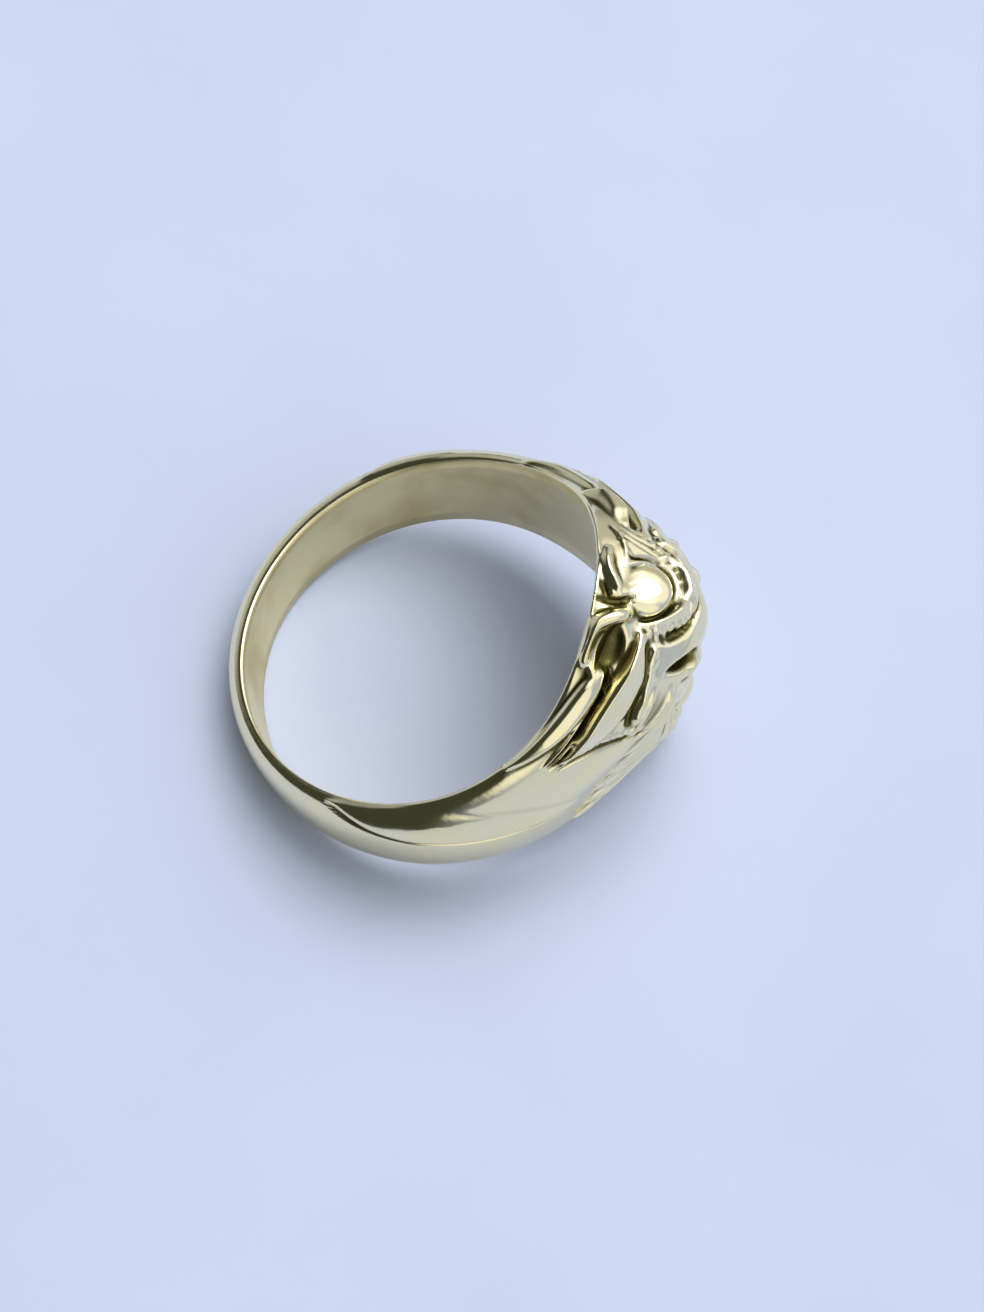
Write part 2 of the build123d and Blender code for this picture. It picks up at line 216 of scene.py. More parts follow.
CROWN_LOCKS = (
    Stroke(FAR, 5.8, 0.972, 0.2, 0.972, -5.2, 0.945, 0.22, 0.32, 0.18, 0.34, 2.0, -0.2),
    Stroke(FAR, 14.0, 0.955, 7.5, 0.928, 1.8, 0.925, 0.06, 0.10, 0.07, 0.26, 1.6, 0),
    Stroke(FAR, 2.4, 0.900, 3.6, 0.840, 5.0, 0.760, 0.08, 0.14, 0.08, 0.34, 1.6, 0),
    Stroke(FAR, 8.8, 0.935, 7.4, 0.850, 6.0, 0.735, 0.14, 0.26, 0.16, 0.24, 1.15, -0.7),
    Stroke(FAR, 11.4, 0.930, 9.8, 0.835, 8.3, 0.715, 0.10, 0.19, 0.12, 0.22, 1.15, -0.7),
    Stroke(FAR, 13.6, 0.915, 12.0, 0.825, 10.4, 0.705, 0.10, 0.18, 0.11, 0.22, 1.15, -0.7),
    Stroke(FAR, 15.4, 0.895, 14.0, 0.810, 12.6, 0.700, 0.08, 0.15, 0.09, 0.20, 1.15, -0.7),
    Stroke(FAR, 12.8, 0.670, 12.0, 0.615, 10.6, 0.560, 0.10, 0.24, 0.10, 0.34, 1.6, -0.5),
    Stroke(FAR, 8.6, 0.640, 3.6, 0.530, -2.0, 0.540, 0.18, 0.56, 0.54, 0.50, 1.05, 0.95),
    Stroke(NEAR, 2.0, 0.540, 6.6, 0.630, 10.8, 0.765, 0.54, 0.40, 0.16, 0.50, 1.05, 0.95),
)
EAR_RIMS = (
    Stroke(NEAR, 10.0, 0.865, 15.8, 0.972, 25.8, 0.980, 0.30, 0.40, 0.24, 0.56, 3.0, 0),
    Stroke(NEAR, 26.0, 0.965, 27.2, 0.925, 26.0, 0.880, 0.16, 0.20, 0.12, 0.26, 2, 0),
    Stroke(FAR, 16.6, 0.890, 23.5, 0.925, 31.5, 0.985, 0.40, 0.42, 0.12, 0.72, 1.05, -0.85),
)
SHOULDER_LOCKS = (
    Stroke(NEAR, 12.2, 0.772, 29.0, 0.678, 46.0, 0.695, 0.06, 1.02, 0.12, 0.85, 1.1, 0.95),
    Stroke(FAR, 12.2, 0.772, 29.0, 0.678, 46.0, 0.695, 0.06, 1.02, 0.12, 0.50, 1.1, 0.95),
    Stroke(NEAR, 26.4, 0.890, 38.0, 0.930, 60.0, 1.0, 0.36, 0.54, 0.12, 0.46, 4.0, 0),
    Stroke(FAR, 29.0, 0.900, 40.0, 0.930, 60.0, 1.0, 0.30, 0.46, 0.12, 0.32, 2.2, 0.2),
    Stroke(NEAR, 113.0, 0.985, 86.0, 0.700, 50.0, -0.100, 0.10, 1.00, 0.35, 0.30, 1.1, -0.9),
    Stroke(FAR, 113.0, 0.985, 86.0, 0.700, 50.0, -0.100, 0.10, 1.00, 0.35, 0.16, 1.1, -0.9),
    Stroke(BOTH, 30.0, 0.835, 40.0, 0.845, 50.5, 0.80, 0.07, 0.13, 0.08, 0.36, 1.3, 0),
    Stroke(BOTH, 38.0, 0.77, 44.0, 0.775, 50.0, 0.74, 0.07, 0.12, 0.07, 0.28, 1.3, 0),
)
CHEEK_LOCKS = (
    Stroke(BOTH, 21.0, 0.50, 25.5, 0.40, 31.0, 0.30, 0.14, 0.26, 0.10, 0.22, 1.5, 0.2, 0.7),
    Stroke(BOTH, 17.5, 0.40, 21.5, 0.27, 29.5, 0.17, 0.14, 0.36, 0.14, 0.26, 1.5, 0.2, 0.7),
    Stroke(BOTH, 17.0, 0.22, 22.0, 0.06, 31.0, -0.04, 0.15, 0.42, 0.15, 0.28, 1.5, 0.2, 0.7),
    Stroke(BOTH, 17.5, 0.00, 24.0, -0.16, 36.0, -0.22, 0.15, 0.46, 0.15, 0.30, 1.5, 0.2, 0.7),
    Stroke(BOTH, 17.5, -0.22, 25.0, -0.38, 40.0, -0.42, 0.15, 0.50, 0.15, 0.32, 1.5, 0.2, 0.7),
    Stroke(BOTH, 16.5, -0.42, 24.0, -0.60, 44.0, -0.62, 0.15, 0.52, 0.15, 0.42, 1.5, 0.2, 1),
    Stroke(BOTH, 14.0, -0.58, 23.0, -0.80, 48.0, -0.84, 0.15, 0.52, 0.15, 0.42, 1.5, 0.2, 1),
)
BEARD_LOCKS = (
    Stroke(BOTH, 2.8, -0.70, 3.4, -0.84, 1.8, -0.99, 0.30, 0.42, 0.15, 0.50, 2, 0, 1),
    Stroke(BOTH, 6.5, -0.64, 8.2, -0.82, 8.0, -0.99, 0.25, 0.42, 0.18, 0.50, 2, 0, 1),
    Stroke(BOTH, 10.2, -0.60, 13.5, -0.80, 15.5, -0.99, 0.25, 0.42, 0.18, 0.48, 2, 0, 1),
    Stroke(BOTH, 14.0, -0.64, 20.0, -0.85, 25.0, -0.99, 0.22, 0.40, 0.18, 0.45, 2, 0, 1),
)
FACE_GROOVES = (
    Stroke(BOTH, 16.0, 0.505, 11.6, 0.395, 7.6, 0.30, 0.05, 0.36, 0.20, 0.75, 2, 0),
    Stroke(BOTH, 15.0, 0.32, 11.0, 0.17, 7.6, 0.18, 0.08, 0.18, 0.14, 0.28, 2, 0),
    Stroke(BOTH, 5.6, 0.22, 4.6, 0.0, 4.1, -0.20, 0.16, 0.28, 0.16, 0.28, 2, 0),
    Stroke(FAR, 0, -0.28, 0, -0.40, 0, -0.53, 0.10, 0.16, 0.10, 0.40, 2, 0),
    Stroke(BOTH, 0, -0.52, 4.5, -0.585, 9.6, -0.50, 0.14, 0.24, 0.12, 0.50, 2, 0),
    Stroke(BOTH, 1.4, -0.235, 2.5, -0.225, 3.4, -0.19, 0.10, 0.16, 0.08, 0.40, 2, 0),
)
SHOULDER_GROOVES = (
    Stroke(BOTH, 47.5, 0.640, 38.0, 0.500, 27.5, 0.235, 0.08, 0.18, 0.12, 0.30, 2, 0),
    Stroke(BOTH, 22.5, 0.850, 36.5, 0.800, 50.0, 0.745, 0.14, 0.46, 0.12, 0.60, 2, 0, 1),
)
EAR_GROOVES = (
    Stroke(NEAR, 14.0, 0.905, 19.6, 0.888, 25.6, 0.905, 0.30, 0.74, 0.36, 0.55, 2, 0),
    Stroke(NEAR, 3.6, 0.990, 6.2, 0.975, 8.4, 0.965, 0.10, 0.22, 0.12, 0.34, 2, 0),
    Stroke(FAR, 18.5, 0.790, 25.6, 0.835, 33.0, 0.940, 0.14, 0.26, 0.12, 0.44, 2, 0),
    Stroke(FAR, 16.6, 0.85, 17.6, 0.74, 15.6, 0.60, 0.16, 0.40, 0.16, 0.40, 2, 0),
)
CROWN_GROOVES = (
    Stroke(FAR, 4.8, 0.925, 5.0, 0.840, 6.6, 0.700, 0.05, 0.12, 0.10, 0.30, 2, 0),
    Stroke(FAR, -2.6, 0.905, -1.2, 0.870, 0.4, 0.835, 0.03, 0.05, 0.03, 0.10, 2, 0),
    Stroke(FAR, -4.8, 0.895, -3.6, 0.872, -2.4, 0.842, 0.03, 0.05, 0.03, 0.10, 2, 0),
    Stroke(FAR, -2.0, 0.645, 3.4, 0.650, 5.4, 0.725, 0.20, 0.22, 0.10, 0.36, 2, 0),
    Stroke(NEAR, 2.0, 0.645, 7.2, 0.700, 9.8, 0.785, 0.20, 0.18, 0.10, 0.36, 2, 0),
    Stroke(NEAR, 6.2, 0.875, 8.3, 0.930, 9.4, 1.0, 0.14, 0.24, 0.20, 0.34, 2, 0, 0.8),
    Stroke(BOTH, 0, 0.460, 6.4, 0.520, 12.1, 0.680, 0.22, 0.30, 0.34, 0.36, 2, 0),
    Stroke(BOTH, 12.1, 0.690, 20.0, 0.652, 28.6, 0.455, 0.30, 0.42, 0.26, 0.50, 2, 0),
)
ENGRAVED_LINE = Stroke(BOTH, 112, 0.92, 87, 0.33, 51, -0.22, 0.08, 0.13, 0.09, 0.42, 2, 0)

# Tufts lie along these paths on both sides: over the brow, and on the shoulder by the cheek.
FRINGE = (
    Place(0.0, 0.490),
    Place(3.6, 0.525),
    Place(6.4, 0.580),
    Place(9.0, 0.650),
    Place(12.1, 0.700),
    Place(14.6, 0.705),
    Place(17.3, 0.680),
    Place(20.0, 0.635),
    Place(22.8, 0.570),
    Place(27.5, 0.455),
)
BEADS = (
    Place(48.0, 0.672),
    Place(43.5, 0.640),
    Place(39.0, 0.585),
    Place(34.5, 0.490),
    Place(31.0, 0.385),
    Place(27.5, 0.275),
)


def unit(vectors: np.ndarray) -> np.ndarray:
    """The vectors at length one."""
    return vectors / np.linalg.norm(vectors, axis=-1, keepdims=True)


def bend(first: float, middle: float, last: float, share: np.ndarray) -> np.ndarray:
    """The parabola through three values.

    Args:
        first: the value at share 0.
        middle: the value at share 0.5.
        last: the value at share 1.
        share: where to work it out.

    Returns:
        The value at each share.
    """
    pull = 2 * middle - (first + last) / 2
    return (1 - share) ** 2 * first + 2 * share * (1 - share) * pull + share**2 * last


def pointing(azimuth: float, elevation: float) -> Triple:
    """The unit vector at an azimuth, from +X towards +Y, and an elevation, both in degrees."""
    turn, lift = math.radians(azimuth), math.radians(elevation)
    return math.cos(turn) * math.cos(lift), math.sin(turn) * math.cos(lift), math.sin(lift)


class SmoothCurve:
    """The smooth curve through some values, level at both ends."""

    def __init__(self, places: Iterable[float], values: Iterable[float]) -> None:
        """Solves for the curve's bends.

        Args:
            places: where the values are, rising.
            values: the value at each place.
        """
        self.places = np.array(list(places), float)
        self.values = np.array(list(values), float)
        self.gaps = np.diff(self.places)
        self.slopes = np.diff(self.values) / self.gaps
        count = len(self.places)
        system = np.zeros((count, count))
        known = np.zeros(count)
        for row in range(count):
            if row > 0:
                system[row, row - 1] = self.gaps[row - 1]
                system[row, row] += 2 * self.gaps[row - 1]
                known[row] -= 6 * self.slopes[row - 1]
            if row < count - 1:
                system[row, row + 1] = self.gaps[row]
                system[row, row] += 2 * self.gaps[row]
                known[row] += 6 * self.slopes[row]
        self.bends = np.linalg.solve(system, known)

    def __call__(self, place: Union[float, np.ndarray]) -> np.ndarray:
        """The value at a place, or at each of several.

        Args:
            place: where to work it out, limited to the curve's ends.

        Returns:
            The value.
        """
        place = np.clip(place, self.places[0], self.places[-1])
        span = np.clip(np.searchsorted(self.places, place) - 1, 0, len(self.gaps) - 1)
        along = place - self.places[span]
        first, last = self.bends[span], self.bends[span + 1]
        slope = self.slopes[span] - self.gaps[span] * (2 * first + last) / 6
        twist = (last - first) / (6 * self.gaps[span])
        return self.values[span] + along * (slope + along * (first / 2 + along * twist))


@dataclass(frozen=True)
class TuftRow:
    """Small tufts of hair side by side along a path, lying across it, on both sides of the head.

    Swing is how far a tuft reaches across the path, as a share of the head's half height, and
    slant is how far it leans along the path, as a share of its length.
    """

    path: tuple[Place, ...]
    count: int
    swing: float
    slant: float
    least_swing: float = 0.8
    more_swing: float = 0.4
    end_swing: float = 0.6
    end_width: float = 0.05
    mid_width: float = 0.12
    rise: float = 0.26
    more_rise: float = 0.10
    crest: float = 1.3

    def strokes(self) -> Iterator[Stroke]:
        """Makes a stroke for each tuft, in lengths of three kinds and rises of two.

        Returns:
            The strokes, one by one.
        """
        share = np.linspace(0, 1, len(self.path))
        angle = SmoothCurve(share, [place.angle for place in self.path])
        height = SmoothCurve(share, [place.height for place in self.path])
        for number in range(self.count):
            at = (number + 0.5) / self.count
            reach = self.swing * (self.least_swing + self.more_swing * (number % 3) / 2)
            reach *= self.end_swing + (1 - self.end_swing) * math.sin(math.pi * at)
            odd = number % 2
            lean = self.slant * (1 + odd)
            yield Stroke(
                BOTH,
                float(angle(at - lean)), float(height(at - lean)) + reach,
                float(angle(at)), float(height(at)),
                float(angle(at + lean)), float(height(at + lean)) - reach,
                self.end_width, self.mid_width, self.end_width,
                self.rise + self.more_rise * odd, self.crest, 0,
            )


TUFT_ROWS = (
    TuftRow(FRINGE, count=34, swing=0.080, slant=0.034),
    TuftRow(BEADS, count=20, swing=0.018, slant=0.004),
)


@dataclass(frozen=True)
class RingSizes:
    """The driving sizes of the ring."""

    bore_radius: float
    head_height: float = 15.6
    head_reach: float = 4.4
    shank_width: float = 3.7
    shank_wall: float = 1.17
    shank_wear: float = 0.4
    rim_land: float = 0.15
    relief_depth: float = 1.0
    lock_width: float = 1.0
    edge_margin: float = 0.6
    edge_round: float = 0.28

    @property
    def head_half(self) -> float:
        """Half the head's height."""
        return self.head_height / 2

    @property
    def shank_half(self) -> float:
        """Half the shank's width."""
        return self.shank_width / 2


@dataclass(frozen=True)
class Lay:
    """How the ring lies: where the bore's middle is in the frame, and how far its axis leans."""

    centre: Triple
    axis: Triple

    @classmethod
    def from_record(cls, record: dict[str, Any]) -> "Lay":
        """Reads the bore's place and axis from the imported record."""
        bore = record["mounts"][0]
        return cls(tuple(v / MM for v in bore["pos_m"]), tuple(bore["axis"]))

    def place(self, points: np.ndarray) -> np.ndarray:
        """Brings points from the ring's own frame to the shared one.

        Args:
            points: points in the ring's frame, in millimetres.

        Returns:
            The points in the shared frame, in millimetres.
        """
        sine, cosine = -self.axis[0], self.axis[2]
        turned = points.copy()
        turned[..., 0] = points[..., 0] * cosine - points[..., 2] * sine
        turned[..., 2] = points[..., 0] * sine + points[..., 2] * cosine
        return turned + np.array(self.centre)


@dataclass
class Blank:
    """The smooth form under the relief."""

    sizes: RingSizes
    cheek_blend: float = 0.4
    band_bow: float = 2.3
    band_root: float = 2.0
    frame_limit: float = 0.985
    angle_nudge: float = 0.01
    height_nudge: float = 0.001
    crown_half: SmoothCurve = field(init=False)
    chin_half: SmoothCurve = field(init=False)
    reach_share: SmoothCurve = field(init=False)
    crown_face: SmoothCurve = field(init=False)
    chin_face: SmoothCurve = field(init=False)
    profile_share: SmoothCurve = field(init=False)

    def __post_init__(self) -> None:
        """Prepares the curves of the blank."""
        angles = [row.angle for row in STATIONS]
        self.crown_half, self.chin_half, self.reach_share, self.crown_face, self.chin_face = (
            SmoothCurve(angles, [getattr(row, name) for row in STATIONS])
            for name in Station._fields[1:])
        self.profile_share = SmoothCurve(
            [row.height for row in PROFILE], [row.reach for row in PROFILE])

    def point(self, angle: np.ndarray, height: np.ndarray) -> np.ndarray:
        """Points of the blank.

        Args:
            angle: angles round the finger, in degrees.
            height: height shares.

        Returns:
            The points in the ring's frame.
        """
        sizes = self.sizes
        turn = np.abs(angle)
        radians = np.radians(angle)
        crown, chin = (sizes.shank_half + (sizes.head_half - sizes.shank_half) * share(turn)
                       for share in (self.crown_half, self.chin_half))
        reach = sizes.shank_wall + (sizes.head_reach - sizes.shank_wall) * self.reach_share(turn)
        reach = reach + sizes.shank_wear * np.sin(radians) * np.clip(-np.cos(radians), 0, 1)
        height = np.clip(height, -1, 1)
        toward_crown = (1 + np.sin(math.pi / 2 * np.clip(height / self.cheek_blend, -1, 1))) / 2
        chin_face = self.chin_face(turn)
        face = np.clip(chin_face + (self.crown_face(turn) - chin_face) * toward_crown, 0, 1)
        bow = (1 - np.abs(height) ** self.band_bow) ** (1 / self.band_root)
        domed = sizes.rim_land + (reach - sizes.rim_land) * bow
        radius = sizes.bore_radius + (1 - face) * domed + face * reach * self.profile_share(height)
        across = (crown + chin) / 2 * height + (crown - chin) / 2 * height**2
        return np.stack([radius * np.cos(radians), radius * np.sin(radians), across], -1)

    def surface(self, angle: np.ndarray, height: np.ndarray) -> Spot:
        """Points of the blank and the directions there.

        Args:
            angle: angles round the finger, in degrees.
            height: height shares.

        Returns:
            The points, and the directions along the ring, across it and outwards.
        """
        point = self.point(angle, height)
        height = np.clip(height, -self.frame_limit, self.frame_limit)
        turn, step = self.angle_nudge, self.height_nudge
        along = unit(self.point(angle + turn, height) - self.point(angle - turn, height))
        across = unit(self.point(angle, height + step) - self.point(angle, height - step))
        return Spot(point, along, across, unit(np.cross(along, across)))


@dataclass
class Carving:
    """The relief on the blank, with what the finish needs to know about it."""

    blank: Blank
    masses: tuple[Mass, ...] = (CROWN_DOME,) + FACE_MASSES
    locks: tuple[Stroke, ...] = (
        CROWN_LOCKS + EAR_RIMS + SHOULDER_LOCKS + CHEEK_LOCKS + BEARD_LOCKS)
    grooves: tuple[Stroke, ...] = (
        FACE_GROOVES + SHOULDER_GROOVES + EAR_GROOVES + CROWN_GROOVES + (ENGRAVED_LINE,))
    tuft_rows: tuple[TuftRow, ...] = TUFT_ROWS
    lock_shoulder: float = 0.75
    lean_share: float = 0.8
    end_rise: float = 0.45
    end_share: float = 0.25
    curve_samples: int = 60
    step_reach: float = 0.6
    reach_degrees: float = 8.0
    cover_rise: float = 0.22
    clear_of_locks: float = 0.5

    @property
    def sizes(self) -> RingSizes:
        """The sizes that the blank has."""
        return self.blank.sizes

    def mass_rise(self, points: np.ndarray, mass: Mass) -> np.ndarray:
        """How far one swelling lifts each point.

        Args:
            points: points of the blank.
            mass: the swelling.

        Returns:
            The lift of each point.
        """
        rise = np.zeros(len(points))
        half = self.sizes.head_half
        for side in mass.sides.value:
            centre, along, across, outward = self.blank.surface(mass.angle * side, mass.height)
            offset = points - centre
            spread = (offset @ along / mass.along) ** 2 + (offset @ across / mass.across) ** 2
            depth = offset @ outward / (mass.along + mass.across)
            inside = np.clip(1 - spread / half**2 - (depth / half) ** 2, 0, 1)
            slope = 1 + mass.tilt * np.clip(offset @ across / (mass.across * half), -1, 1)
            rise = np.maximum(rise, mass.rise * self.sizes.relief_depth * slope * inside**mass.fall)
        return rise

    def beside(self, points: np.ndarray, line: Spot) -> tuple[np.ndarray, np.ndarray]:
        """Where points lie beside a line on the blank.

        Args:
            points: points of the blank.
            line: the points of the line and the directions there.

        Returns:
            How far along the line each point lies, as a share of it, and how far beside it, in
            millimetres, with a plus towards the upper bore edge.
        """
        share = np.linspace(0, 1, len(line.point))
        steps = np.gradient(line.point, axis=0)
        spacing = np.linalg.norm(steps, axis=-1)
        forward = unit(steps)
        sideways = unit(np.cross(line.outward, forward))
        sideways *= np.where(np.sum(sideways * line.across, -1, keepdims=True) < 0, -1, 1)
        offsets = points[:, None, :] - line.point[None]
        nearest = np.linalg.norm(offsets, axis=-1).argmin(axis=1)
        offset = offsets[np.arange(len(nearest)), nearest]
        lateral = np.sum(offset * sideways[nearest], -1)
        onward = np.sum(offset * forward[nearest], -1)
        beyond = np.clip(np.abs(onward) - spacing[nearest] * self.step_reach, 0, None)
        distance = np.where(lateral < 0, -1, 1) * np.hypot(lateral, beyond)
        part = np.clip(onward / spacing[nearest], -0.5, 0.5) / (len(share) - 1)
        return np.clip(share[nearest] + part, 0, 1), distance

    def body(self, stroke: Stroke, across: np.ndarray, at: np.ndarray) -> np.ndarray:
        """The form of a stroke, as a share of its rise.

        Args:
            stroke: the lock, rim or groove.
            across: how far across it, from -1 at its lower edge to 1 at its upper one.
            at: how far along it, from 0 to 1.

        Returns:
            The share at each place.
        """
        top = self.lean_share * stroke.lean
        fall = np.where(across > top, (across - top) / (1 - top), (top - across) / (1 + top))
        body = (1 - np.clip(fall, 0, 1) ** stroke.crest) ** self.lock_shoulder
        ends = np.minimum(at, 1 - at)
        return body * np.minimum(1, self.end_rise + (1 - self.end_rise) / self.end_share * ends)

    def stroke_rise(
            self, points: np.ndarray, angles: np.ndarray,
            stroke: Stroke) -> tuple[np.ndarray, np.ndarray]:
        """How far one stroke lifts each point.

        Args:
            points: points of the blank.
            angles: the angle of each point.
            stroke: the lock, rim or groove.

        Returns:
            The lift of each point, and how far across the stroke it lies, in millimetres.
        """
        rise, crosswise = np.zeros((2, len(points)))
        share = np.linspace(0, 1, self.curve_samples)
        widths = self.sizes.lock_width * bend(stroke.root, stroke.mid, stroke.tip, share)
        heights = bend(stroke.root_height, stroke.mid_height, stroke.tip_height, share)
        for side in stroke.sides.value:
            line_angles = side * bend(stroke.root_at, stroke.mid_at, stroke.tip_at, share)
            near = (angles > line_angles.min() - self.reach_degrees) & (
                angles < line_angles.max() + self.reach_degrees)
            line = self.blank.surface(line_angles, np.clip(heights, -1, 1))
            at, distance = self.beside(points[near], line)
            across = distance / np.interp(at, share, widths)
            lifted = stroke.rise * self.sizes.relief_depth * self.body(stroke, across, at)
            crosswise[near] = np.where(lifted > rise[near], distance, crosswise[near])
            rise[near] = np.maximum(rise[near], lifted)
        return rise, crosswise

    def highest(
            self, points: np.ndarray, angles: np.ndarray,
            strokes: Iterable[Stroke]) -> tuple[np.ndarray, np.ndarray, np.ndarray]:
        """Where strokes overlap, the highest one shows.

        Args:
            points: points of the blank.
            angles: the angle of each point.
            strokes: the strokes.

        Returns:
            The lift of each point, how far across its stroke it lies, and how clearly hairs show.
        """
        rise, crosswise, strands = np.zeros((3, len(points)))
        for stroke in strokes:
            lifted, distance = self.stroke_rise(points, angles, stroke)
            higher = lifted > rise
            crosswise = np.where(higher, distance, crosswise)
            strands = np.where(higher, stroke.strands, strands)
            rise = np.maximum(rise, lifted)
        return rise, crosswise, strands

    def relief(self, points: np.ndarray, angles: np.ndarray) -> Relief:
        """The whole relief.

        Args:
            points: points of the blank.
            angles: the angle of each point.

        Returns:
            What the relief does to each point.
        """
        lift = sum(self.mass_rise(points, mass) for mass in self.masses)
        locks, crosswise, strands = self.highest(points, angles, self.locks)
        tufts, _, _ = self.highest(
            points, angles, (tuft for row in self.tuft_rows for tuft in row.strokes()))
        cuts, cut_crosswise, cut_strands = self.highest(points, angles, self.grooves)
        cover = np.clip(locks / (self.cover_rise * self.sizes.relief_depth), 0, 1)
        cuts *= 1 - cover
        lift += np.maximum(locks, tufts) - cuts
        in_cut = (cuts > 0) & (cover < self.clear_of_locks)
        return Relief(
            lift,
            np.where(in_cut, cut_strands, strands * cover),
            np.where(in_cut, cut_crosswise, crosswise),
            np.clip(cuts - tufts, 0, None),
        )


Value = Union["Wire", float]


class Wire:
    """A socket of a shader that takes part in Python arithmetic."""

    def __init__(self, bench: "Bench", socket: Optional[bpy.types.NodeSocket]) -> None:
        """Wraps a socket of the given bench, or nothing after an output node."""
        self.bench = bench
        self.socket = socket

    def maths(self, operation: str, first: Value, second: Value) -> "Wire":
        """Adds one Math node.

        Args:
            operation: the node's operation.
            first: its first value.
            second: its second value.

        Returns:
            The result.
        """
        return self.bench.add("ShaderNodeMath", {"operation": operation}, {0: first, 1: second})

    def __add__(self, other: Value) -> "Wire":
        """self + other."""
        return self.maths("ADD", self, other)

    def __radd__(self, other: Value) -> "Wire":
        """other + self."""
        return self.maths("ADD", other, self)

    def __mul__(self, other: Value) -> "Wire":
        """self * other."""
        return self.maths("MULTIPLY", self, other)

    def __rmul__(self, other: Value) -> "Wire":
        """other * self."""
        return self.maths("MULTIPLY", other, self)

    def sine(self) -> "Wire":
        """The sine of the value."""
        return self.maths("SINE", self, 0.0)

    def between(self, low: float, high: float) -> "Wire":
        """The value as a share from low to high, smoothly limited to 0 and 1.

        Args:
            low: the value that gives 0.
            high: the value that gives 1.

        Returns:
            The share.
        """
        return self.bench.add(
            "ShaderNodeMapRange", {"interpolation_type": "SMOOTHSTEP"},
            {"Value": self, "From Min": low, "From Max": high})


class Bench:
    """A node tree under construction.

    The numbers are those of the Mix node's colour sockets, which share their names with others.
    """

    MIX_SHARE = 0
    MIX_FIRST = 6
    MIX_SECOND = 7
    MIX_RESULT = 2

    def __init__(self, tree: bpy.types.NodeTree) -> None:
        """Starts on an empty tree."""
        self.tree = tree
        tree.nodes.clear()

    def add(
            self, kind: str, settings: Optional[dict[str, Any]] = None,
            inputs: Optional[dict[Union[str, int], Any]] = None,
            output: Union[str, int] = 0) -> Wire:
        """Adds a node.

        Args:
            kind: the node's type.
            settings: its own settings, set first.
            inputs: a value or a wire for each named or numbered socket.
            output: the socket that is returned.

        Returns:
            The output socket.
        """
        node = self.tree.nodes.new(kind)
        for name, value in (settings or {}).items():
            setattr(node, name, value)
        for name, value in (inputs or {}).items():
            socket = node.inputs[name]
            if isinstance(value, Wire):
                self.tree.links.new(value.socket, socket)
            elif isinstance(value, tuple) and len(value) == 3 and socket.type == "RGBA":
                socket.default_value = value + (1.0,)
            else:
                socket.default_value = value
        return Wire(self, node.outputs[output] if len(node.outputs) else None)

    def attribute(self, name: str) -> Wire:
        """A value that the mesh carries."""
        return self.add("ShaderNodeAttribute", {"attribute_name": name}, output="Fac")

    def noise(self, scale: float, detail: float = 2.0, stretch: Triple = (1.0, 1.0, 1.0)) -> Wire:
        """Noise in the object's own space.

        Args:
            scale: features in each metre.
            detail: how many finer layers.
            stretch: the scale along each axis.

        Returns:
            The noise, about 0.5.
        """
        place = self.add("ShaderNodeTexCoord", output="Object")
        scaled = self.add("ShaderNodeVectorMath", {"operation": "MULTIPLY"}, {0: place, 1: stretch})
        return self.add(
            "ShaderNodeTexNoise", None, {"Vector": scaled, "Scale": scale, "Detail": detail})

    def mix(self, share: Value, first: Any, second: Any) -> Wire:
        """A colour between two others.

        Args:
            share: 0 for the first colour and 1 for the second.
            first: a colour or a wire.
            second: a colour or a wire.

        Returns:
            The colour.
        """
        return self.add(
            "ShaderNodeMix", {"data_type": "RGBA"},
            {self.MIX_SHARE: share, self.MIX_FIRST: first, self.MIX_SECOND: second},
            output=self.MIX_RESULT)

    def bump(self, height: Wire) -> Wire:
        """The normal of a surface that is uneven by the given height, in metres."""
        return self.add(
            "ShaderNodeBump", None, {"Strength": 1.0, "Distance": 1.0, "Height": height})

    def finish(self, sockets: dict[str, Any]) -> None:
        """Ends a material in the shader for solid surfaces.

        Args:
            sockets: the values and wires of its sockets.
        """
        shader = self.add("ShaderNodeBsdfPrincipled", None, sockets)
        self.add("ShaderNodeOutputMaterial", None, {"Surface": shader})


def new_material(name: str) -> tuple[bpy.types.Material, Bench]:
    """A material, and the bench on which its node tree is built."""
    material = bpy.data.materials.new(name)
    material.use_nodes = True
    return material, Bench(material.node_tree)


class Finish(Protocol):
    """Anything that makes the material of a surface."""

    def make(self) -> bpy.types.Material:
        """Makes the material."""


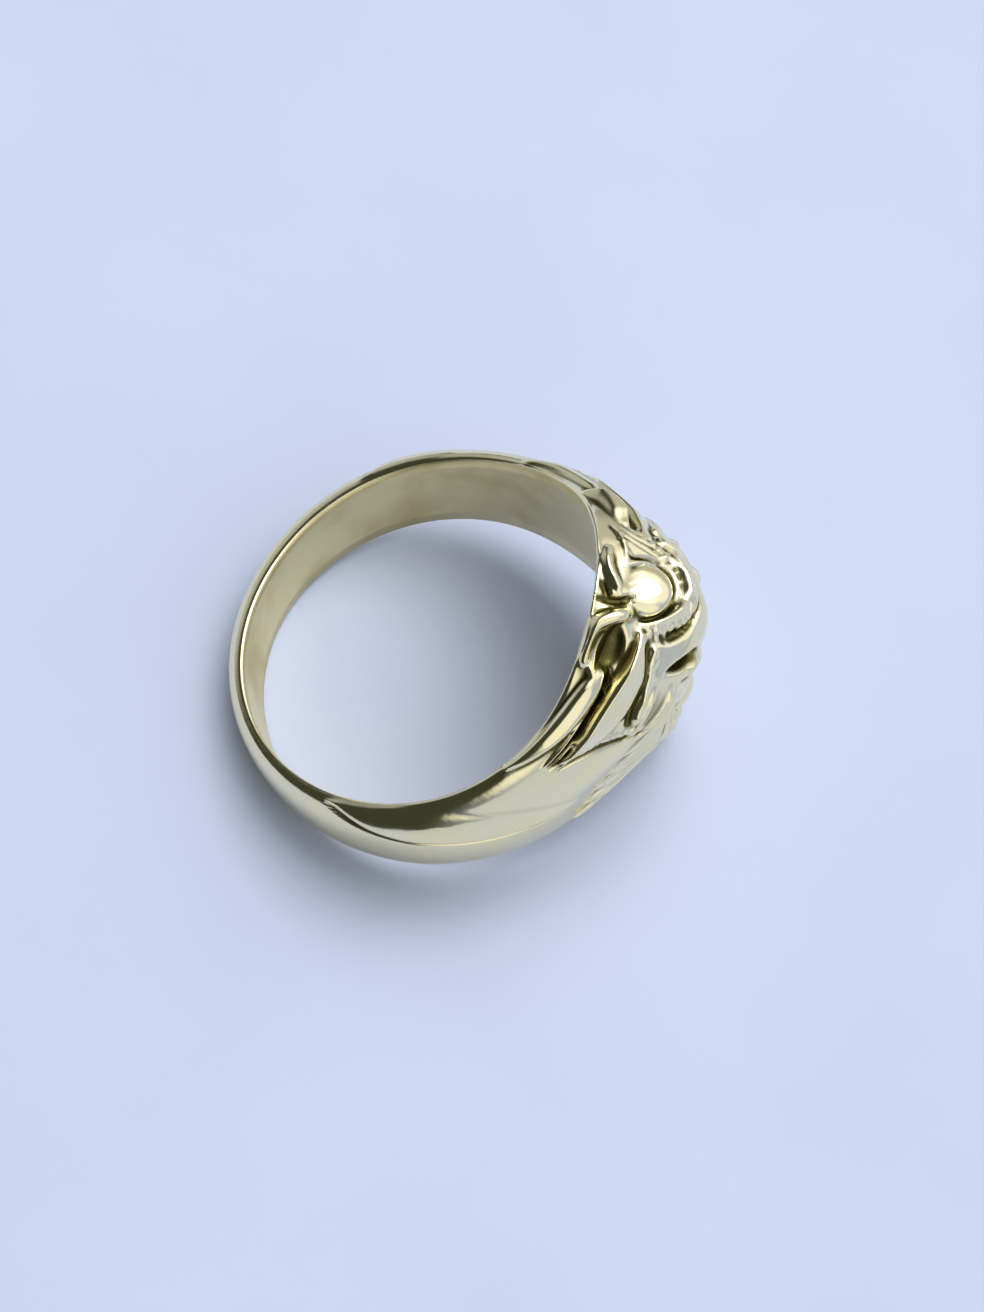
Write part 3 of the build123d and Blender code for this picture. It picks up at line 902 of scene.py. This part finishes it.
@dataclass(frozen=True)
class PolishedGold:
    """Pale yellow gold, cast and polished, with painted shade and duller polish in its recesses and
    cuts.

    Scales are features in each metre, bumps are heights in metres, and hair spacing is in
    millimetres, as the ring's own attributes are.
    """

    name: str = "polished_gold"
    colour: Colour = (0.92, 0.82, 0.49)
    cooler: Colour = (0.90, 0.82, 0.56)
    # The colour of the painted shade in recesses and cuts.
    hollow_shade: Colour = (0.10, 0.088, 0.024)
    roughness: float = 0.10
    deep_roughness: float = 0.30
    hair_spacing: float = 0.115
    hair_bump: float = 0.000006
    patch_scale: float = 420.0
    patch_range: tuple[float, float] = (0.35, 0.68)
    patch_roughness: float = 0.05
    grain_scale: float = 9000.0
    grain_share: float = 0.45
    recess_range: tuple[float, float] = (0.06, 0.66)
    recess_share: float = 0.80
    ripple_scale: float = 1500.0
    ripple_bump: float = 0.000010

    def make(self) -> bpy.types.Material:
        """Makes the material.

        Returns:
            The material.
        """
        material, bench = new_material(self.name)
        recess = bench.attribute("recess").between(*self.recess_range)
        patches = bench.noise(self.patch_scale, detail=3.0).between(*self.patch_range)
        grain = bench.noise(self.grain_scale)
        ripples = bench.noise(self.ripple_scale)
        turns = bench.attribute("crosswise") * (2 * math.pi / self.hair_spacing)
        strands = turns.sine() * bench.attribute("hair")
        # Painted shade: recesses and cuts are darkened towards the shade colour, and their polish
        # is duller.
        hollow_shade = recess * (self.recess_share + self.grain_share * grain)
        duller = hollow_shade * (self.deep_roughness - self.roughness) + self.patch_roughness * patches
        bench.finish({
            "Base Color": bench.mix(hollow_shade, bench.mix(patches, self.colour, self.cooler), self.hollow_shade),
            "Metallic": 1.0,
            "Roughness": self.roughness + duller,
            "Normal": bench.bump(strands * self.hair_bump + ripples * self.ripple_bump),
        })
        return material


@dataclass(frozen=True)
class SatinGold:
    """The bore wall: brushed round the finger, a little stained."""

    name: str = "satin_gold"
    colour: Colour = (0.82, 0.72, 0.42)
    stain: Colour = (0.56, 0.47, 0.22)
    stain_scale: float = 260.0
    stain_range: tuple[float, float] = (0.42, 0.72)
    stain_share: float = 0.6
    stain_roughness: float = 0.12
    roughness: float = 0.32
    brush_scale: float = 900.0
    brush_stretch: Triple = (0.6, 0.6, 9.0)
    brush_roughness: float = 0.10
    brush_bump: float = 0.000004

    def make(self) -> bpy.types.Material:
        """Makes the material.

        Returns:
            The material.
        """
        material, bench = new_material(self.name)
        stains = bench.noise(self.stain_scale, detail=4.0).between(*self.stain_range)
        brushed = bench.noise(self.brush_scale, detail=3.0, stretch=self.brush_stretch)
        duller = self.stain_roughness * stains + self.brush_roughness * brushed
        bench.finish({
            "Base Color": bench.mix(stains * self.stain_share, self.colour, self.stain),
            "Metallic": 1.0,
            "Roughness": self.roughness + duller,
            "Normal": bench.bump(brushed * self.brush_bump),
        })
        return material


@dataclass
class HeadRing:
    """The one gold casting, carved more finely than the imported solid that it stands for."""

    sizes: RingSizes
    lay: Lay
    angle_steps: int = 416
    section_steps: int = 231
    wall_steps: int = 8
    head_spacing: float = 0.30
    spacing_power: float = 2.4
    soft_passes: int = 2
    recess_passes: int = 20
    recess_depth: float = 0.12
    cut_depth: float = 0.28
    lip_rise: float = 0.45
    wall_clearance: float = 1.003
    outline_samples: int = 400
    outside_finish: Finish = PolishedGold()
    wall_finish: Finish = SatinGold()
    carving: Carving = field(init=False)

    def __post_init__(self) -> None:
        """Prepares the carving."""
        self.carving = Carving(Blank(self.sizes))

    def angles(self) -> np.ndarray:
        """The angles of the sections, closer together at the head.

        Returns:
            The angles in degrees, from the back of the shank once round.
        """
        share = np.linspace(-1, 1, self.angle_steps + 1)[:-1]
        curved = np.sign(share) * np.abs(share) ** self.spacing_power
        return 180 * (self.head_spacing * share + (1 - self.head_spacing) * curved)

    @staticmethod
    def softened(values: np.ndarray, passes: int) -> np.ndarray:
        """The values of a grid blended with their neighbours.

        Args:
            values: a row for each section.
            passes: how often they are blended.

        Returns:
            The blended grid.
        """
        for _ in range(passes):
            values = (np.roll(values, 1, 0) + 2 * values + np.roll(values, -1, 0)) / 4
            values[:, 1:-1] = (values[:, :-2] + 2 * values[:, 1:-1] + values[:, 2:]) / 4
        return values

    def section_places(self, angles: np.ndarray) -> tuple[np.ndarray, np.ndarray]:
        """Where each section's points lie, evenly along its outline.

        Args:
            angles: the angles of the sections.

        Returns:
            The height shares, and the distances to the lower and the upper bore edge.
        """
        samples = np.sin(np.linspace(-math.pi / 2, math.pi / 2, self.outline_samples))
        heights, margins = [], []
        for angle in angles:
            outline = self.carving.blank.point(np.full(len(samples), angle), samples)
            length = np.append(0, np.cumsum(np.linalg.norm(np.diff(outline, axis=0), axis=1)))
            stops = np.linspace(0, length[-1], self.section_steps + 1)
            heights.append(np.interp(stops, length, samples))
            margins.append(np.stack([stops, length[-1] - stops], -1))
        return np.concatenate(heights), np.concatenate(margins)

    def outside(self, angles: np.ndarray) -> tuple[np.ndarray, dict[str, np.ndarray]]:
        """The carved outside.

        Args:
            angles: the angles of the sections.

        Returns:
            A grid of points, and the grids that the finish reads.
        """
        shape = (len(angles), self.section_steps + 1)
        heights, margins = self.section_places(angles)
        grid_angles = np.repeat(angles, shape[1])
        spots = self.carving.blank.surface(grid_angles, heights)
        relief = self.carving.relief(spots.point, grid_angles)
        rise = self.held_at_edges(relief.lift, margins).reshape(shape)
        rise = self.softened(rise, self.soft_passes)
        looks = {
            # The recess share sets the painted shade and the duller polish.
            "recess": self.recesses(rise, relief.cuts.reshape(shape)),
            "hair": relief.hair.reshape(shape),
            "crosswise": relief.crosswise.reshape(shape),
        }
        points = spots.point + spots.outward * rise.reshape(-1, 1)
        radius = np.hypot(points[:, 0], points[:, 1])
        push = np.maximum(radius, self.sizes.bore_radius * self.wall_clearance) / radius
        points[:, :2] *= push[:, None]
        return points.reshape(shape + (3,)), looks

    def held_at_edges(self, rise: np.ndarray, margins: np.ndarray) -> np.ndarray:
        """Brings the relief down at the lower bore edge, and rounds it at the upper one.

        Args:
            rise: the lift of each point.
            margins: its distances to the lower and the upper bore edge.

        Returns:
            The lift that is left.
        """
        to_lower, to_upper = np.clip(margins / self.sizes.edge_margin, 0, 1).T
        rise = rise * to_lower
        rise = np.where(rise < 0, rise * to_upper, rise)
        lip = np.clip(margins[:, 1] / self.sizes.edge_round, 0, 1)
        round_over = self.lip_rise + (1 - self.lip_rise) * np.sqrt(1 - (1 - lip) ** 2)
        return np.where(rise > 0, rise * round_over, rise)

    def recesses(self, rise: np.ndarray, cuts: np.ndarray) -> np.ndarray:
        """Where painted shade and duller polish go: in cuts, and where the surroundings stand
        higher.

        Args:
            rise: a grid of lifts.
            cuts: a grid of the depths of cuts.

        Returns:
            A grid of shares.
        """
        around = self.softened(rise, self.recess_passes)
        low = np.clip((around - rise) / self.recess_depth, 0, 1)
        cut = self.softened(np.clip(cuts / self.cut_depth, 0, 1), self.soft_passes)
        return np.maximum(low, cut)

    def wall(self, angles: np.ndarray, outer: np.ndarray) -> np.ndarray:
        """The bore wall behind the carved outside.

        Args:
            angles: the angles of the sections.
            outer: the grid of the outside.

        Returns:
            A grid of points from the upper bore edge to the lower one.
        """
        share = np.linspace(1, 0, self.wall_steps)
        lower, upper = outer[:, 0, 2:3], outer[:, -1, 2:3]
        height = lower + (upper - lower) * share
        radians = np.radians(angles)[:, None] + 0 * share
        bore = self.sizes.bore_radius
        return np.stack([bore * np.cos(radians), bore * np.sin(radians), height], -1)

    def build(self) -> bpy.types.Object:
        """Makes the ring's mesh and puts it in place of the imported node.

        Returns:
            The ring.
        """
        angles = self.angles()
        outer, looks = self.outside(angles)
        grid = self.lay.place(np.concatenate([outer, self.wall(angles, outer)], axis=1))
        grid[..., 2] = np.maximum(grid[..., 2], 0)
        rings, stops = grid.shape[:2]
        row, column = np.meshgrid(np.arange(rings), np.arange(stops), indexing="ij")
        next_row, next_column = (row + 1) % rings, (column + 1) % stops
        corners = [row * stops + column, next_row * stops + column,
                   next_row * stops + next_column, row * stops + next_column]
        faces = np.stack(corners, -1).reshape(-1, 4)
        mesh = bpy.data.meshes.new(NODE + "_carved")
        mesh.from_pydata((grid.reshape(-1, 3) * MM).tolist(), [], faces.tolist())
        mesh.shade_smooth()
        for name, values in looks.items():
            padded = np.zeros((rings, stops), np.float32)
            padded[:, :values.shape[1]] = values
            mesh.attributes.new(name, "FLOAT", "POINT").data.foreach_set("value", padded.ravel())
        on_wall = (column > self.section_steps) & (column < stops - 1)
        mesh.polygons.foreach_set("material_index", on_wall.ravel().astype(np.int32))
        ring = bpy.data.objects.new("lion_head_casting", mesh)
        bpy.context.scene.collection.objects.link(ring)
        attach(ring, BODY)
        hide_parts(NODE)
        for finish in (self.outside_finish, self.wall_finish):
            mesh.materials.append(finish.make())
        return ring


@dataclass(frozen=True)
class StudioCamera:
    """The camera at the photograph's angle, with its lens in pixels of the photograph."""

    eye: Triple = (-3.47, -63.80, 124.86)
    aim: Triple = (1.55, 0.54, 3.97)
    roll: float = 9.01
    focal_pixels: float = 2670.0
    frame_pixels: float = 1312.0
    sensor: float = 36.0
    nearest: float = 2.0

    def build(self) -> bpy.types.Object:
        """Makes the camera.

        Returns:
            The camera, which is then the scene's own.
        """
        data = bpy.data.cameras.new("camera")
        data.sensor_width = self.sensor
        data.lens = self.focal_pixels / self.frame_pixels * self.sensor
        data.clip_start = self.nearest * MM
        camera = bpy.data.objects.new("camera", data)
        bpy.context.scene.collection.objects.link(camera)
        eye, aim = Vector(self.eye) * MM, Vector(self.aim) * MM
        facing = (aim - eye).to_track_quat("-Z", "Y").to_matrix().to_4x4()
        rolled = Matrix.Rotation(math.radians(self.roll), 4, "Z")
        camera.matrix_world = Matrix.Translation(eye) @ facing @ rolled
        bpy.context.scene.camera = camera
        return camera


@dataclass(frozen=True)
class Softbox:
    """A soft square light that looks at the ring, with its power in watts."""

    name: str
    azimuth: float
    elevation: float
    distance: float
    size: float
    power: float
    colour: Colour

    def build(self) -> bpy.types.Object:
        """Makes the light.

        Returns:
            The light.
        """
        data = bpy.data.lights.new(self.name, "AREA")
        data.shape = "SQUARE"
        data.size = self.size * MM
        data.energy = self.power
        data.color = self.colour
        away = Vector(pointing(self.azimuth, self.elevation))
        light = bpy.data.objects.new(self.name, data)
        bpy.context.scene.collection.objects.link(light)
        light.location = away * self.distance * MM
        light.rotation_euler = away.to_track_quat("Z", "Y").to_euler()
        return light


@dataclass(frozen=True)
class Glow:
    """A soft patch of the surroundings: full near its middle, gone further out, in degrees."""

    azimuth: float
    elevation: float
    full: float
    gone: float
    colour: Colour

    def over(self, bench: Bench, direction: Wire, behind: Any) -> Wire:
        """Lays the patch over what is behind it.

        Args:
            bench: the surroundings' node tree.
            direction: the direction looked at.
            behind: a colour or a wire.

        Returns:
            The colour with the patch.
        """
        middle = pointing(self.azimuth, self.elevation)
        nearness = bench.add(
            "ShaderNodeVectorMath", {"operation": "DOT_PRODUCT"}, {0: direction, 1: middle},
            output="Value")
        gone, full = (math.cos(math.radians(angle)) for angle in (self.gone, self.full))
        return bench.mix(nearness.between(gone, full), behind, self.colour)


@dataclass(frozen=True)
class Studio:
    """Pale floor, soft surroundings and the light."""

    floor_size: float = 900.0
    floor_colour: Colour = (0.59, 0.645, 0.795)
    floor_roughness: float = 0.85
    floor_shine: float = 0.2
    mottle_scale: float = 60.0
    mottle_range: tuple[float, float] = (0.3, 0.7)
    mottle_dark: float = 0.97
    room_colour: Colour = (0.045, 0.051, 0.036)
    glows: tuple[Glow, ...] = (
        Glow(-10.0, 8.0, 45.0, 95.0, (0.465, 0.54, 0.79)),
        Glow(135.0, 4.0, 12.0, 35.0, (0.45, 0.48, 0.52)),
        Glow(60.0, 24.0, 22.0, 40.0, (0.52, 0.54, 0.54)),
        Glow(46.0, 66.0, 24.0, 46.0, (1.32, 1.35, 1.46)),
        Glow(16.0, 38.0, 14.0, 34.0, (1.0, 1.04, 1.15)),
        Glow(-64.0, 34.0, 22.0, 36.0, (0.98, 1.0, 1.0)),
    )
    lights: tuple[Softbox, ...] = (
        Softbox("window_light", 50.0, 69.0, 640.0, 430.0, 2.0, (1.0, 1.01, 1.04)),
    )

    def build_floor(self) -> bpy.types.Object:
        """Makes the floor.

        Returns:
            The floor.
        """
        half = self.floor_size / 2 * MM
        corners = [(-half, -half, 0), (half, -half, 0), (half, half, 0), (-half, half, 0)]
        mesh = bpy.data.meshes.new("studio_floor")
        mesh.from_pydata(corners, [], [(0, 1, 2, 3)])
        floor = bpy.data.objects.new("studio_floor", mesh)
        bpy.context.scene.collection.objects.link(floor)
        material, bench = new_material("pale_card")
        mottle = bench.noise(self.mottle_scale, detail=3.0).between(*self.mottle_range)
        darker = tuple(self.mottle_dark * part for part in self.floor_colour)
        bench.finish({
            "Base Color": bench.mix(mottle, self.floor_colour, darker),
            "Roughness": self.floor_roughness,
            "Specular IOR Level": self.floor_shine,
        })
        mesh.materials.append(material)
        floor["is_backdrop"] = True
        return floor

    def build_surroundings(self) -> None:
        """Lights the scene from a dim room with soft bright patches."""
        world = bpy.data.worlds.new("studio")
        world.use_nodes = True
        bpy.context.scene.world = world
        bench = Bench(world.node_tree)
        direction = bench.add("ShaderNodeTexCoord", output="Generated")
        colour: Any = self.room_colour
        for glow in self.glows:
            colour = glow.over(bench, direction, colour)
        light = bench.add("ShaderNodeBackground", None, {"Color": colour})
        bench.add("ShaderNodeOutputWorld", None, {"Surface": light})

    def build(self) -> list[bpy.types.Object]:
        """Makes everything round the ring.

        Returns:
            The floor and the lights.
        """
        floor = self.build_floor()
        self.build_surroundings()
        return [floor] + [light.build() for light in self.lights]


def write_sizes() -> None:
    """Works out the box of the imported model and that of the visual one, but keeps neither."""
    boxes = {"cad": CAD_BOX, "visual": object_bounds()}
    {name: [list(corner) for corner in box] for name, box in boxes.items()}


def main() -> None:
    """Builds the ring and the studio and reports each piece."""
    logging.basicConfig(level=logging.INFO, format="%(name)s: %(message)s")
    record = frame["record"]
    sizes = RingSizes(bore_radius=record["mounts"][0]["dims"]["r_mm"])
    ring = HeadRing(sizes, Lay.from_record(record)).build()
    log.info("%s: %d vertices", ring.name, len(ring.data.vertices))
    for piece in [StudioCamera().build()] + Studio().build():
        log.info("%s: in place", piece.name)
    bpy.context.scene.view_settings.view_transform = "Standard"
    write_sizes()


if __name__ == "__main__":
    main()
